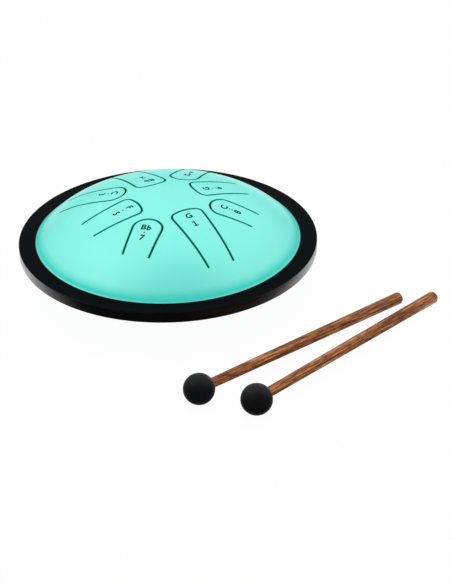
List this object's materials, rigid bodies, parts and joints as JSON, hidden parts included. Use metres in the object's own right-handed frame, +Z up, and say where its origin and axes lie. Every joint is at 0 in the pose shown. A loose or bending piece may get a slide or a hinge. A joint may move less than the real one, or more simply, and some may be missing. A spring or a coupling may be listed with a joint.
{
  "type": "tongue drum",
  "caption": "Lens-shaped steel tongue drum: slit lacquered dome, dished base with a sound port, rubber edge ring and feet, with ball-headed wooden mallets for striking its tongues.",
  "frame": {"origin": "floor point under the middle of the set's bounding box", "axes": "+Z up from the floor that the feet and mallets rest on; the picture looks along +Y with +X to the right"},
  "size_m": [0.2504, 0.2422, 0.0568],
  "materials": {
    "lacquered_steel": "satin turquoise lacquer",
    "ring_rubber": "smooth satin black",
    "foot_rubber": "matt black",
    "head_rubber": "matt black",
    "handle_wood": "fine sanded reddish brown hardwood with dark streaks"
  },
  "bodies": {
    "drum": {"top_shell": "lacquered_steel", "bottom_shell": "lacquered_steel", "rim_ring": "ring_rubber", "foot_1": "foot_rubber", "foot_2": "foot_rubber", "foot_3": "foot_rubber", "foot_4": "foot_rubber"},
    "tongue_1": {"tongue_1": "lacquered_steel"},
    "tongue_2": {"tongue_2": "lacquered_steel"},
    "tongue_3": {"tongue_3": "lacquered_steel"},
    "tongue_4": {"tongue_4": "lacquered_steel"},
    "tongue_5": {"tongue_5": "lacquered_steel"},
    "tongue_6": {"tongue_6": "lacquered_steel"},
    "tongue_7": {"tongue_7": "lacquered_steel"},
    "tongue_8": {"tongue_8": "lacquered_steel"},
    "mallet_1": {"mallet_1_head": "head_rubber", "mallet_1_handle": "handle_wood"},
    "mallet_2": {"mallet_2_head": "head_rubber", "mallet_2_handle": "handle_wood"}
  },
  "joints": [
    {"name": "tongue_1_flex", "type": "hinge", "parent": "drum", "child": "tongue_1", "pos_m": [-0.00296, -0.02531, 0.04033], "axis": [0.8686, 0.4955, 0], "range_deg": [-1, 1], "stiffness_Nm_per_rad": 31.6},
    {"name": "tongue_2_flex", "type": "hinge", "parent": "drum", "child": "tongue_2", "pos_m": [-0.06455, 0.08162, 0.04404], "axis": [-0.8643, -0.503, 0], "range_deg": [-1, 1], "stiffness_Nm_per_rad": 34.1},
    {"name": "tongue_3_flex", "type": "hinge", "parent": "drum", "child": "tongue_3", "pos_m": [-0.09911, 0.04792, 0.03962], "axis": [-0.2538, -0.9673, 0], "range_deg": [-1, 1], "stiffness_Nm_per_rad": 32.2},
    {"name": "tongue_4_flex", "type": "hinge", "parent": "drum", "child": "tongue_4", "pos_m": [-0.0165, 0.08964, 0.04246], "axis": [-0.9527, 0.304, 0], "range_deg": [-1, 1], "stiffness_Nm_per_rad": 35.1},
    {"name": "tongue_5_flex", "type": "hinge", "parent": "drum", "child": "tongue_5", "pos_m": [-0.08108, 0.00507, 0.04655], "axis": [0.4939, -0.8695, 0], "range_deg": [-1, 1], "stiffness_Nm_per_rad": 42.8},
    {"name": "tongue_6_flex", "type": "hinge", "parent": "drum", "child": "tongue_6", "pos_m": [0.00973, 0.05512, 0.04727], "axis": [-0.471, 0.8821, 0], "range_deg": [-1, 1], "stiffness_Nm_per_rad": 43.4},
    {"name": "tongue_7_flex", "type": "hinge", "parent": "drum", "child": "tongue_7", "pos_m": [-0.05178, -0.02317, 0.04482], "axis": [0.9563, -0.2924, 0], "range_deg": [-1, 1], "stiffness_Nm_per_rad": 45.2},
    {"name": "tongue_8_flex", "type": "hinge", "parent": "drum", "child": "tongue_8", "pos_m": [0.0172, 0.01643, 0.04589], "axis": [0.2706, 0.9627, 0], "range_deg": [-1, 1], "stiffness_Nm_per_rad": 47.7},
    {"name": "mallet_1_lift", "type": "slide", "parent": "drum", "child": "mallet_1", "axis": [0, 0, 1], "range_m": [0, 0.15]},
    {"name": "mallet_2_lift", "type": "slide", "parent": "drum", "child": "mallet_2", "axis": [0, 0, 1], "range_m": [0, 0.15]}
  ]
}
